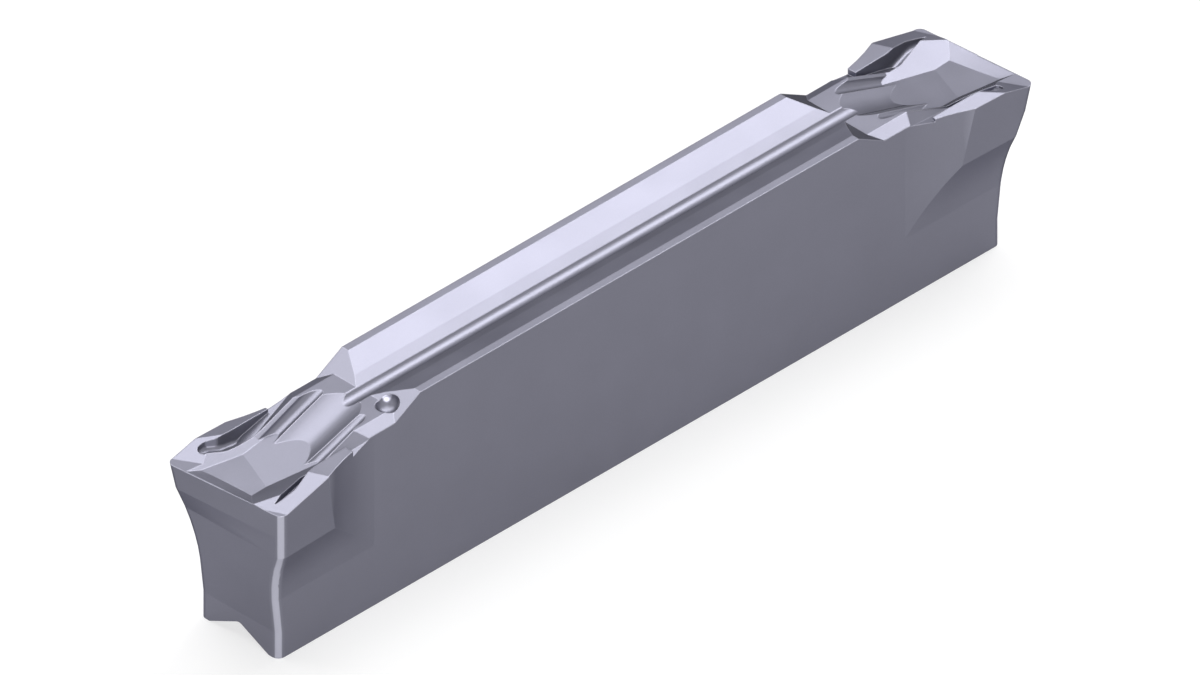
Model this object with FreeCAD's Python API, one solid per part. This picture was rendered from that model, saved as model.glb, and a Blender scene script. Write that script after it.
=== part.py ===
"""Double-ended grooving insert: one sintered carbide body, in millimetres.

Frame: X along the insert, Y across the cutting width, Z up. The origin is at
the bottom centre. The two cutting ends are the same form, half a turn apart
about Z, so everything at an end is written once, for the end at minus X.
The leading corner of that end is on the plus Y side, the trailing one on minus Y.
Only a round mark beside one end of the rail tells the two ends apart.
"""
import FreeCAD, Part
import math
import os

from FreeCAD import Vector

os.makedirs("parts", exist_ok=True)

# Overall sizes
cutting_width = 3.0
lead_angle = 5.0
half_length = 10.58
tip_height = 3.805
rail_height = 4.532
body_width = 2.208
nose_radius = 0.175

# Front of each end, from the foot up to the cutting edge
foot_x = 10.14
foot_height = 0.63
lower_front_angle = 6.8
trailing_set_back = 0.022
step_top_height = 3.20
clearance_lead = 10.4
clearance_trail = 5.0

# Sides of the wide ends, and the round reliefs behind and below them.
# The dip lets a relief run out of the body's side at a clear angle.
side_clearance = 5.0
side_taper = 2.0
relief_end_x = 7.23
relief_end_radius = 4.88
relief_low_z = 1.27
relief_low_radius = 3.43
relief_dip = 0.005

# Inverted V along the bottom
seat_groove_rise = 0.40
seat_groove_half = 0.83
seat_groove_radius = 0.16

# Clamping rail along the top: flanks as (across, down), channel in the middle
rail_land = 0.18
outer_flank = (0.504, 0.180)
inner_flank = (0.242, 0.109)
channel_depth = 0.088
rail_end_x = 6.15
rail_end_angle = 29.0

# Shoulders in front of the rail, and the round mark on one of them
shoulder_height = 4.254
shoulder_half = 0.833
shoulder_drop = 0.127
shoulder_reach = 7.80
mark_x = 6.68
mark_y = 0.686
mark_radius = 0.26
mark_depth = 0.16

# Chip former. Its places are (back from the cutting edge, across, up from the
# edge), and its slopes are (along X, across Y).
edge_land = 0.03
band_back = 0.60
band_slope_lead = 0.02
band_slope_trail = 0.62
floor_corner = (0.348, -0.40, -0.127)
floor_slope = (-0.02, 0.062)
rise_corner = (0.830, -0.40, -0.135)
rise_slope = (0.090, 0.020)
flank_slope_trail = 0.395
fan_corner = (0.259, 0.845, -0.049)
fan_slope = (0.057, 0.50)
wall_foot_radius = 0.25

# Round trough from the floor up to the rail, with a ridge and a groove each side
trough_radius = 1.0
trough_start = (2.255, -0.02, -0.017)
trough_slope = 0.32
ridge_slope = 0.39
ridge_tilt = 0.50
ridge_outer_slope = 0.70
ridge_top_back = 2.802
rib_place = (2.431, 0.0, 0.193)
groove_offset = 0.60
groove_radius = 0.16
groove_depth = 0.073
groove_slope = 0.36

# Wings beside the chip former: top and front ramp of each
wing_end = 2.53
wing_inside_trail = 0.90
wing_inside_lead = 0.95
ramp_end = 1.78
wing_trail_top = (0.0, -1.1, 0.312)
wing_trail_top_slope = (0.0, 0.0)
wing_trail_ramp = (0.302, -1.5, -0.002)
wing_trail_ramp_slope = (0.256, 0.115)
wing_lead_top = (0.0, 1.11, 0.239)
wing_lead_top_slope = (0.0, -0.18)
wing_lead_ramp = (0.045, 1.5, 0.0)
wing_lead_ramp_slope = (0.270, 0.150)

# Inner walls of the wings as (back, in from the side of the insert, corner radius),
# and how far back each wing reaches
wall_trail = [(0.85, 0.335, 0.5), (1.50, 0.50, 1.0), (3.60, 0.566, 0)]
wall_lead = [(0.74, 0.20, 0.25), (1.02, 0.36, 0.4), (1.31, 0.385, 1.0), (3.60, 0.385, 0)]
wing_back_trail = 2.45
wing_back_lead = 2.37
wall_inside = 0.93

# Valleys between the wings and the ridges: front corner as (back, in from the
# side, radius), and the inner line as (back, across, radius)
valley_trail_nose = (0.28, 0.38, 0)
valley_lead_nose = (0.41, 0.20, 0.12)
valley_trail_line = [(3.68, 0.77, 0), (1.88, 0.79, 0), (1.34, 0.81, 0)]
valley_lead_line = [(3.68, 0.83, 0), (1.88, 0.845, 0), (1.28, 0.86, 0.3), (0.98, 0.90, 0.2), (0.54, 1.08, 0)]
valley_foot_radius = 0.10
valley_flank = (2.009, 0.82, 0.139)
valley_rise = (2.405, 0.0, 0.163)
valley_rise_slope = (0.25, 0.0)
valley_front_trail = (0.28, 0.0, 0.005)
valley_front_trail_slope = (-0.094, 0.0)
valley_front_lead = (0.68, 0.0, -0.035)
valley_front_lead_slope = (-0.080, 0.0)

half_width = cutting_width / 2
half_body = body_width / 2
lead_step = half_width * math.tan(math.radians(lead_angle))

# How far the cutters reach past what they cut
beyond = 2 * half_length
lift = 2 * rail_height
past_edge = -2.0
far_back = 6.0
all_across = (-cutting_width, cutting_width)
up = Vector(0, 0, 1)
half_turn = 180


def prism(points, direction):
    """Extrude a closed polygon along a direction."""
    corners = [Vector(*p) for p in points]
    wire = Part.makePolygon(corners + corners[:1])
    return Part.Face(wire).extrude(Vector(*direction))


def above(place, slope, across=all_across, back=(past_edge, far_back)):
    """Room above a sloping plane through a place, inside a rectangle seen from above."""
    x0, y0, z0 = place
    corners = []
    for x, y in ((back[0], across[0]), (back[1], across[0]), (back[1], across[1]), (back[0], across[1])):
        corners.append((x, y, z0 + slope[0] * (x - x0) + slope[1] * (y - y0)))
    return prism(corners, (0, 0, lift))


def common(first, *others):
    """Intersect several solids."""
    for other in others:
        first = first.common(other)
    return first


def rounded_outline(corners, z):
    """Closed outline at height z through corners (x, y, radius), with tangent arcs."""
    count = len(corners)
    stops = []
    for i, (x, y, radius) in enumerate(corners):
        here = Vector(x, y, z)
        if radius == 0:
            stops.append((here, here, here))
            continue
        before = Vector(corners[i - 1][0], corners[i - 1][1], z)
        after = Vector(corners[(i + 1) % count][0], corners[(i + 1) % count][1], z)
        back = (before - here).normalize()
        ahead = (after - here).normalize()
        half = back.getAngle(ahead) / 2
        cut = radius / math.tan(half)
        inward = (back + ahead).normalize()
        middle = here + inward * (radius / math.sin(half) - radius)
        stops.append((here + back * cut, middle, here + ahead * cut))
    edges = []
    for i, (first, middle, last) in enumerate(stops):
        if (last - first).Length > 0:
            edges.append(Part.Arc(first, middle, last).toShape())
        edges.append(Part.makeLine(last, stops[(i + 1) % count][0]))
    return Part.Wire(edges)


def column(corners):
    """Upright column over a rounded plan outline."""
    return Part.Face(rounded_outline(corners, -tip_height)).extrude(Vector(0, 0, lift))


def dip_length(radius):
    """Distance from the lowest point of a round relief to where it comes out of the body."""
    return math.sqrt(radius ** 2 - (radius - relief_dip) ** 2)


def concave_side(z):
    """Half width of the concave side that blends the wide end into the body below."""
    rise = z - relief_low_z
    return half_body - relief_dip + relief_low_radius - math.sqrt(relief_low_radius ** 2 - rise ** 2)


def straight_side(z):
    """Half width of the side that slopes in below the cutting edge."""
    return half_width - math.tan(math.radians(side_clearance)) * (tip_height - z)


def crease_height():
    """Height at which the sloping side meets the concave one below it."""
    low = relief_low_z
    high = tip_height
    for step in range(40):
        middle = (low + high) / 2
        if concave_side(middle) < straight_side(middle):
            low = middle
        else:
            high = middle
    return low


blend_start = relief_low_z + dip_length(relief_low_radius)
crease = crease_height()


def side_y(z):
    """Half width of a wide end at its front corner, at height z."""
    if z <= blend_start:
        return half_body
    if z < crease:
        return concave_side(z)
    return straight_side(z)


def front_x(z, leading):
    """Distance of a front corner from the middle of the insert at height z."""
    if z <= foot_height:
        return foot_x
    step_foot = foot_x + math.tan(math.radians(lower_front_angle)) * (crease - foot_height)
    if not leading:
        step_foot = step_foot - trailing_set_back
    if z <= crease:
        return foot_x + (step_foot - foot_x) * (z - foot_height) / (crease - foot_height)
    tip = half_length + (lead_step if leading else -lead_step)
    slope = math.tan(math.radians(clearance_lead if leading else clearance_trail))
    if z >= step_top_height:
        return tip - slope * (tip_height - z)
    step_top = tip - slope * (tip_height - step_top_height)
    return step_foot + (step_top - step_foot) * (z - crease) / (step_top_height - crease)


def plan_outline(z):
    """Outline of the blank, seen from above, at height z."""
    wide = side_y(z)
    narrowing = (half_length - relief_end_x) * math.tan(math.radians(side_taper))
    waist = wide - narrowing * (wide - half_body) / (half_width - half_body)
    half = [
        (-front_x(z, True), wide, nose_radius),
        (-front_x(z, False), -wide, nose_radius),
        (-relief_end_x, -waist, 0),
        (relief_end_x, -waist, 0),
    ]
    return rounded_outline(half + [(-x, -y, r) for x, y, r in half], z)


def make_blank():
    """Full-width body with the shaped fronts and sides at both ends."""
    blend_steps = 5
    straight = [0.0, foot_height, blend_start]
    blend = [blend_start + (crease - blend_start) * i / blend_steps for i in range(blend_steps + 1)]
    upper = [crease, step_top_height, rail_height]
    pieces = [Part.makeLoft([plan_outline(z) for z in blend], True, False)]
    for levels in (straight, upper):
        for low, high in zip(levels[:-1], levels[1:]):
            pieces.append(Part.makeLoft([plan_outline(low), plan_outline(high)], True, True))
    return pieces[0].multiFuse(pieces[1:]).removeSplitter()


def side_relief():
    """Room outside the body on the minus Y side, between the wide ends."""
    r = relief_end_radius
    top = -half_body + relief_dip
    turn = math.asin(dip_length(r) / r)
    centre = Vector(-relief_end_x, top - r, -1)
    angles = (turn, (turn + math.pi / 2) / 2, math.pi / 2)
    start, middle, end = [centre + Vector(-r * math.sin(a), r * math.cos(a), 0) for a in angles]
    arc = Part.Arc(start, middle, end).toShape()
    other_arc = arc.mirror(Vector(0, 0, 0), Vector(1, 0, 0))
    across = Part.makeLine(end, Vector(-end.x, end.y, -1))
    along = Part.makeLine(Vector(-start.x, start.y, -1), start)
    plan = Part.Face(Part.Wire(Part.__sortEdges__([arc, across, other_arc, along])))
    return plan.extrude(Vector(0, 0, lift + 1))


def seat_groove():
    """Inverted V along the bottom, with a rounded top."""
    foot = seat_groove_half
    points = [(-beyond, -foot, 0), (-beyond, foot, 0), (-beyond, 0, seat_groove_rise)]
    groove = prism(points, (2 * beyond, 0, 0))
    top = [e for e in groove.Edges if abs(e.BoundBox.ZMin - seat_groove_rise) < 1e-6]
    return groove.makeFillet(seat_groove_radius, top)


def rail_channel():
    """Shallow V along the top, with a round channel in the middle."""
    y1 = half_body - rail_land
    y2 = y1 - outer_flank[0]
    y3 = y2 - inner_flank[0]
    z1 = rail_height
    z2 = z1 - outer_flank[1]
    z3 = z2 - inner_flank[1]
    plus_side = [(y1, z1 + 1), (y1, z1), (y2, z2), (y3, z3)]
    minus_side = [(-y, z) for y, z in reversed(plus_side)]
    edges = []
    for points in (plus_side, minus_side, [minus_side[-1], plus_side[0]]):
        places = [Vector(-beyond, y, z) for y, z in points]
        edges.extend(Part.makeLine(a, b) for a, b in zip(places[:-1], places[1:]))
    ends = [Vector(-beyond, y3, z3), Vector(-beyond, 0, z3 - channel_depth), Vector(-beyond, -y3, z3)]
    edges.append(Part.Arc(*ends).toShape())
    return Part.Face(Part.Wire(Part.__sortEdges__(edges))).extrude(Vector(2 * beyond, 0, 0))


def rail_end_room():
    """Room in front of the rail and above the shoulders."""
    slope = math.tan(math.radians(rail_end_angle))
    span = (-beyond, 0)
    return above((-rail_end_x, 0, rail_height), (slope, 0), back=span)


def shoulder_cutters():
    """Rail end and chamfered shoulders, in the frame of the insert."""
    rail_end = rail_end_room()
    cutters = [common(rail_end, above((0, 0, shoulder_height), (0, 0), back=(-beyond, 0)))]
    drop = shoulder_drop / (half_body - shoulder_half)
    for side in (1, -1):
        rows = sorted((side * shoulder_half, side * cutting_width))
        edge = (0, side * shoulder_half, shoulder_height)
        chamfer = above(edge, (0, -side * drop), rows, (-shoulder_reach, 0))
        cutters.append(common(chamfer, rail_end))
    return cutters


def round_mark():
    """Shallow round mark on the trailing shoulder of the end at minus X."""
    return Part.makeSphere(mark_radius, Vector(-mark_x, -mark_y, shoulder_height + mark_radius - mark_depth))


def wing_cutters():
    """Tops and front ramps of the two wings."""
    cutters = []
    whole = (past_edge, wing_end)
    cutters.append(above(wing_trail_top, wing_trail_top_slope, (-cutting_width, -wing_inside_trail), whole))
    cutters.append(above(wing_lead_top, wing_lead_top_slope, (wing_inside_lead, cutting_width), whole))
    land = above((0, 0, 0), (0, 0))
    front = (past_edge, ramp_end)
    trail = above(wing_trail_ramp, wing_trail_ramp_slope, (-cutting_width, 0), front)
    lead = above(wing_lead_ramp, wing_lead_ramp_slope, (0, cutting_width), front)
    cutters.append(common(trail, land))
    cutters.append(common(lead, land))
    return cutters


def wall_line(wall, side):
    """Plan corners of a wing's inner wall, for the plus or minus Y side."""
    return [(x, side * (half_width - inset), r) for x, inset, r in wall]


def shortened(wall, back):
    """Inner wall of a wing with its last corner moved along it to where the wing ends."""
    x0, inset0 = wall[-2][:2]
    x1, inset1 = wall[-1][:2]
    inset = inset0 + (inset1 - inset0) * (back - x0) / (x1 - x0)
    return wall[:-1] + [(back, inset, 0)]


def round_foot(room, place, slope, radius, side):
    """Round the edges between a room's sloping bottom and the inner wall of a wing."""
    x0, y0, z0 = place
    feet = []
    for edge in room.Edges:
        ends = [v.Point for v in edge.Vertexes] + [edge.valueAt(sum(edge.ParameterRange) / 2)]
        on_bottom = all(abs(p.z - z0 - slope[0] * (p.x - x0) - slope[1] * (p.y - y0)) < 1e-5 for p in ends)
        if on_bottom and all(side * p.y > wall_inside for p in ends):
            feet.append(edge)
    return room.makeFillet(radius, feet)


def band_room():
    """Room above the twisted band that falls from the cutting edge to the floor."""
    spread = 1.2
    wires = []
    for side, slope in ((1, band_slope_lead), (-1, band_slope_trail)):
        x = edge_land - side * spread * lead_step
        low = -slope * band_back
        profile = [(x - 1, slope), (x + band_back, low), (far_back, low), (far_back, lift), (x - 1, lift)]
        points = [Vector(px, side * spread * half_width, pz) for px, pz in profile]
        wires.append(Part.makePolygon(points + points[:1]))
    return Part.makeLoft(wires, True, True)


def sloping_cylinder(place, slope, radius, reach):
    """Cylinder along a line that climbs towards the middle of the insert."""
    along = Vector(1, 0, slope).normalize()
    return Part.makeCylinder(radius, 2 * reach, place - along * reach, along)


def bowl():
    """Room above the ramp, its ridges and grooves, and in the round trough."""
    planes = [above(rib_place, (ridge_slope, 0))]
    for side in (1, -1):
        top = (ridge_top_back, side * shoulder_half, shoulder_height - tip_height)
        planes.append(above(top, (ridge_slope, side * ridge_tilt)))
    room = common(*planes)
    normal = Vector(-trough_slope, 0, 1).normalize()
    trough_centre = Vector(*trough_start) + normal * trough_radius
    cylinders = [sloping_cylinder(trough_centre, trough_slope, trough_radius, far_back)]
    for side in (1, -1):
        centre = Vector(rib_place[0], side * groove_offset, rib_place[2] + groove_radius - groove_depth)
        cylinders.append(sloping_cylinder(centre, groove_slope, groove_radius, far_back))
    return room.multiFuse(cylinders)


def pocket():
    """Sunk middle of the chip former, between the walls of the wings."""
    trail = wall_line(wall_trail, -1)
    lead = wall_line(wall_lead, 1)
    room = column(trail + lead[::-1] + [(past_edge, lead[0][1], 0), (past_edge, trail[0][1], 0)])
    trail_slope = (0, -flank_slope_trail)
    trail_side = common(room, above(floor_corner, trail_slope))
    trail_side = round_foot(trail_side, floor_corner, trail_slope, wall_foot_radius, -1)
    floor = above(floor_corner, floor_slope)
    rise = above(rise_corner, rise_slope)
    fan = above(fan_corner, fan_slope)
    return common(trail_side, fan, floor, rise, band_room(), bowl())


def valley(nose, wall, back, line, side, front, front_slope):
    """Valley between a wing and a ridge."""
    walls = wall_line([nose] + shortened(wall, back), side)
    inner = [(x, side * y, r) for x, y, r in line]
    mouth = [(back + 0.1, side * cutting_width, 0), (inner[0][0], side * cutting_width, 0)]
    room = common(column(walls + mouth + inner), above(front, front_slope))
    room = round_foot(room, front, front_slope, valley_foot_radius, side)
    flank_place = (valley_flank[0], side * valley_flank[1], valley_flank[2])
    flank = above(flank_place, (ridge_slope, -side * ridge_outer_slope))
    return common(room, flank, above(valley_rise, valley_rise_slope))


def end_cutters():
    """All the cutters of the end at minus X, in the frame of the insert."""
    former = wing_cutters()
    former.append(pocket())
    former.append(valley(
        valley_trail_nose, wall_trail, wing_back_trail, valley_trail_line, -1,
        valley_front_trail, valley_front_trail_slope))
    former.append(valley(
        valley_lead_nose, wall_lead, wing_back_lead, valley_lead_line, 1,
        valley_front_lead, valley_front_lead_slope))
    for shape in former:
        shape.translate(Vector(-half_length, 0, tip_height))
    return shoulder_cutters() + former


def both_ends(shape):
    """Return the shape and its copy at the other cutting end."""
    other = shape.copy()
    other.rotate(Vector(0, 0, 0), up, half_turn)
    return [shape, other]


def make_insert():
    body = make_blank()
    cutters = both_ends(side_relief()) + [rail_channel(), seat_groove(), round_mark()]
    for shape in end_cutters():
        cutters.extend(both_ends(shape))
    for cutter in cutters:
        body = body.cut(cutter)
    return body.removeSplitter()


insert = make_insert()
insert.exportStep("parts/grooving_insert.step")
print("solids", len(insert.Solids), "valid", insert.isValid(), "volume mm3", round(insert.Volume, 3))
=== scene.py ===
"""Looks of the double-ended grooving insert: satin sintered carbide, soft studio light, pale floor.

Everything is in metres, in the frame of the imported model: +X along the insert, +Z up, and the
floor is at z = 0. The model's one solid stays and gets its finish here.
"""
import math
import bpy
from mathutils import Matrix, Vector

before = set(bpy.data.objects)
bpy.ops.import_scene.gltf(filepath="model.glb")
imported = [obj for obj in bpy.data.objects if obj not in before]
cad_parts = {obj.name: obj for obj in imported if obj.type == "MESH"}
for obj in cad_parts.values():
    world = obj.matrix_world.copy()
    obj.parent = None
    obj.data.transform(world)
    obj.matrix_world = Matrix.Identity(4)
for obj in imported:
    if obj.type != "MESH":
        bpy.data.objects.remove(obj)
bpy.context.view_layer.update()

MM = 0.001
WHITE = (1, 1, 1, 1)

# Photo: a true isometric view, 1200 x 675 pixels
PHOTO_WIDTH_PX = 1200
PX_PER_MM = 50.4
VIEW_AZIMUTH = -45.0
VIEW_ELEVATION = 35.2644
LOOK_AT = Vector((-0.0056, 0.0056, 2.231)) * MM
CAMERA_DISTANCE = 200 * MM
CAMERA_REACH = (1 * MM, 10000 * MM)

# Lamps: azimuth from +X and elevation of where each one shines from, strength, angular size
LAMPS = {
    "overhead": (0.0, 90.0, 0.8, 36.0),
    "back": (57.0, 60.0, 0.87, 36.0),
    "back_right": (8.0, 52.0, 1.27, 32.0),
    "back_left": (106.0, 52.0, 0.78, 34.0),
    "low_left": (228.0, 12.0, 2.5, 45.0),
}
ROOM_LIGHT = 0.02

# Floor: the grey that takes light and shadow, and the white that only shows
FLOOR_SIZE = 4000 * MM
FLOOR_COLOUR = (0.38, 0.38, 0.38, 1)
FLOOR_WHITE = 0.66

# Carbide: rough metal whose reflection fades at glancing angles
CARBIDE_COLOUR = (0.205, 0.205, 0.25, 1)
CARBIDE_METAL = 0.72
CARBIDE_ROUGHNESS = 0.36
GLANCING_TINT = (0.1, 0.1, 0.1, 1)

# Faint differences in the carbide; a noise value lies mostly between the two spread values
NOISE_SPREAD = (0.3, 0.7)
PATCH_SIZE = 1.2 * MM
PATCH_DETAIL = 4.0
PATCH_TONE = 0.025
PATCH_ROUGHNESS = 0.03
GRAIN_SIZE = 0.03 * MM
GRAIN_DETAIL = 2.0
GRAIN_TONE = 0.015
GRAIN_HEIGHT = 0.004 * MM
GRAIN_STRENGTH = 0.05

# Edges: where the rounded normal turns away from the flat one, the carbide is worn brighter; the
# same lighter colour also paints a highlight on the upright corners
WEAR_AND_HIGHLIGHT_COLOUR = (0.44, 0.44, 0.52, 1)
EDGE_ROUND = 0.03 * MM
EDGE_SAMPLES = 6
WORN_FROM, WORN_FULL = 0.995, 0.93
WORN_MOST = 0.5

# Painted highlight: the upright corners are painted lighter where the normal's X times its Y is
# large
CORNER_FROM, CORNER_FULL = 0.3, 0.38


class Graph:
    """Short way to add shader nodes to a material or to the world."""

    def __init__(self, holder):
        holder.use_nodes = True
        self.tree = holder.node_tree
        self.tree.nodes.clear()

    def add(self, kind, inputs=None, **settings):
        node = self.tree.nodes.new(kind)
        for key, value in settings.items():
            setattr(node, key, value)
        for key, value in (inputs or {}).items():
            if isinstance(value, bpy.types.NodeSocket):
                self.tree.links.new(value, node.inputs[key])
            else:
                node.inputs[key].default_value = value
        return node

    def math(self, operation, *values):
        inputs = dict(enumerate(values))
        return self.add("ShaderNodeMath", inputs, operation=operation).outputs[0]

    def ramp(self, value, low, high, to_low, to_high):
        names = ("Value", "From Min", "From Max", "To Min", "To Max")
        values = (value, low, high, to_low, to_high)
        return self.add("ShaderNodeMapRange", dict(zip(names, values))).outputs[0]

    def around(self, noise, middle, spread):
        """Turn a noise value into one that lies the spread around the middle."""
        return self.ramp(noise, *NOISE_SPREAD, middle - spread, middle + spread)

    def mix(self, factor, first, second, blend="MIX"):
        """Mix two colours; a colour mix takes them at sockets 6 and 7 and gives output 2."""
        inputs = {0: factor, 6: first, 7: second}
        return self.add("ShaderNodeMix", inputs, data_type="RGBA", blend_type=blend).outputs[2]

    def noise(self, size, detail):
        place = self.add("ShaderNodeTexCoord").outputs["Object"]
        inputs = {"Vector": place, "Scale": 1 / size, "Detail": detail}
        return self.add("ShaderNodeTexNoise", inputs).outputs["Fac"]

    def seen(self):
        """One for what the camera sees, straight or in a mirror or glass, and none for the light."""
        path = self.add("ShaderNodeLightPath").outputs
        shown = self.math("MAXIMUM", path["Is Camera Ray"], path["Is Glossy Ray"])
        return self.math("MAXIMUM", shown, path["Is Transmission Ray"])


def worn_edge(g, rounded):
    """How much an edge is worn, from the angle between the rounded and the flat normal."""
    flat = g.add("ShaderNodeNewGeometry").outputs["Normal"]
    facing = g.add("ShaderNodeVectorMath", {0: rounded, 1: flat}, operation="DOT_PRODUCT")
    return g.ramp(facing.outputs["Value"], WORN_FROM, WORN_FULL, 0.0, WORN_MOST)


def painted_corner_highlight(g):
    """Painted highlight mask: one on the four upright corners, where the normal lies between X and
    Y.
    """
    normal = g.add("ShaderNodeTexCoord").outputs["Normal"]
    axes = g.add("ShaderNodeSeparateXYZ", {0: normal}).outputs
    slant = g.math("ABSOLUTE", g.math("MULTIPLY", axes["X"], axes["Y"]))
    return g.ramp(slant, CORNER_FROM, CORNER_FULL, 0.0, 1.0)


def carbide():
    """Satin sintered carbide: fine grain, faint patches, worn edges brighter and a painted highlight
    on the upright corners.
    """
    material = bpy.data.materials.new("sintered_carbide")
    g = Graph(material)
    patches = g.noise(PATCH_SIZE, PATCH_DETAIL)
    grain = g.noise(GRAIN_SIZE, GRAIN_DETAIL)
    rounded = g.add("ShaderNodeBevel", {"Radius": EDGE_ROUND}, samples=EDGE_SAMPLES).outputs[0]
    tone = g.math("MULTIPLY", g.around(patches, 1.0, PATCH_TONE), g.around(grain, 1.0, GRAIN_TONE))
    grey = g.add("ShaderNodeCombineColor", {0: tone, 1: tone, 2: tone}).outputs[0]
    base = g.mix(1.0, CARBIDE_COLOUR, grey, "MULTIPLY")
    # Lighter colour on worn edges, and a painted highlight on the upright corners
    bright = g.math("MAXIMUM", worn_edge(g, rounded), painted_corner_highlight(g))
    bump = g.add("ShaderNodeBump", {
        "Strength": GRAIN_STRENGTH,
        "Distance": GRAIN_HEIGHT,
        "Height": grain,
        "Normal": rounded,
    }).outputs[0]
    shader = g.add("ShaderNodeBsdfPrincipled", {
        "Base Color": g.mix(bright, base, WEAR_AND_HIGHLIGHT_COLOUR),
        "Metallic": CARBIDE_METAL,
        "Specular IOR Level": 0.0,
        "Specular Tint": GLANCING_TINT,
        "Roughness": g.around(patches, CARBIDE_ROUGHNESS, PATCH_ROUGHNESS),
        "Normal": bump,
    })
    g.add("ShaderNodeOutputMaterial", {"Surface": shader.outputs[0]})
    return material


def floor_material():
    """Pale matt floor that reads as white and still takes the shadow."""
    material = bpy.data.materials.new("floor_material")
    g = Graph(material)
    matt = g.add("ShaderNodeBsdfDiffuse", {"Color": FLOOR_COLOUR}).outputs[0]
    strength = g.math("MULTIPLY", g.seen(), FLOOR_WHITE)
    glow = g.add("ShaderNodeEmission", {"Color": WHITE, "Strength": strength}).outputs[0]
    both = g.add("ShaderNodeAddShader", {0: matt, 1: glow}).outputs[0]
    g.add("ShaderNodeOutputMaterial", {"Surface": both})
    return material


def make_floor():
    half = FLOOR_SIZE / 2
    mesh = bpy.data.meshes.new("floor")
    corners = [(-half, -half, 0), (half, -half, 0), (half, half, 0), (-half, half, 0)]
    mesh.from_pydata(corners, [], [(0, 1, 2, 3)])
    mesh.materials.append(floor_material())
    floor = bpy.data.objects.new("floor", mesh)
    bpy.context.scene.collection.objects.link(floor)


def make_room():
    """World: a trace of soft light for the object, plain white where the camera looks."""
    world = bpy.data.worlds.new("room")
    bpy.context.scene.world = world
    g = Graph(world)
    strength = g.ramp(g.seen(), 0.0, 1.0, ROOM_LIGHT, 1.0)
    room = g.add("ShaderNodeBackground", {"Color": WHITE, "Strength": strength}).outputs[0]
    g.add("ShaderNodeOutputWorld", {"Surface": room})


def direction(azimuth, elevation):
    """Unit vector toward an azimuth, counted from +X to +Y, and an elevation, in degrees."""
    turn, tilt = math.radians(azimuth), math.radians(elevation)
    flat = math.cos(tilt)
    return Vector((math.cos(turn) * flat, math.sin(turn) * flat, math.sin(tilt)))


def aim(name, data, toward, place):
    """Put a lamp or a camera at a place, with its back turned toward the given direction."""
    thing = bpy.data.objects.new(name, data)
    thing.rotation_mode = "QUATERNION"
    thing.rotation_quaternion = toward.to_track_quat("Z", "Y")
    thing.location = place
    bpy.context.scene.collection.objects.link(thing)
    return thing


def make_lamps():
    for name, (azimuth, elevation, strength, size) in LAMPS.items():
        light = bpy.data.lights.new(name, "SUN")
        light.energy = strength
        light.angle = math.radians(size)
        source = direction(azimuth, elevation)
        aim(name, light, source, source * CAMERA_DISTANCE)


def make_camera():
    data = bpy.data.cameras.new("photo_camera")
    data.type = "ORTHO"
    data.ortho_scale = PHOTO_WIDTH_PX / PX_PER_MM * MM
    data.clip_start, data.clip_end = CAMERA_REACH
    back = direction(VIEW_AZIMUTH - 90, VIEW_ELEVATION)
    place = LOOK_AT + back * CAMERA_DISTANCE
    bpy.context.scene.camera = aim("photo_camera", data, back, place)


def dress_insert():
    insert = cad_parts["grooving_insert"]
    insert.data.materials.clear()
    insert.data.materials.append(carbide())


bpy.context.scene.view_settings.view_transform = "Standard"
dress_insert()
make_floor()
make_room()
make_lamps()
make_camera()
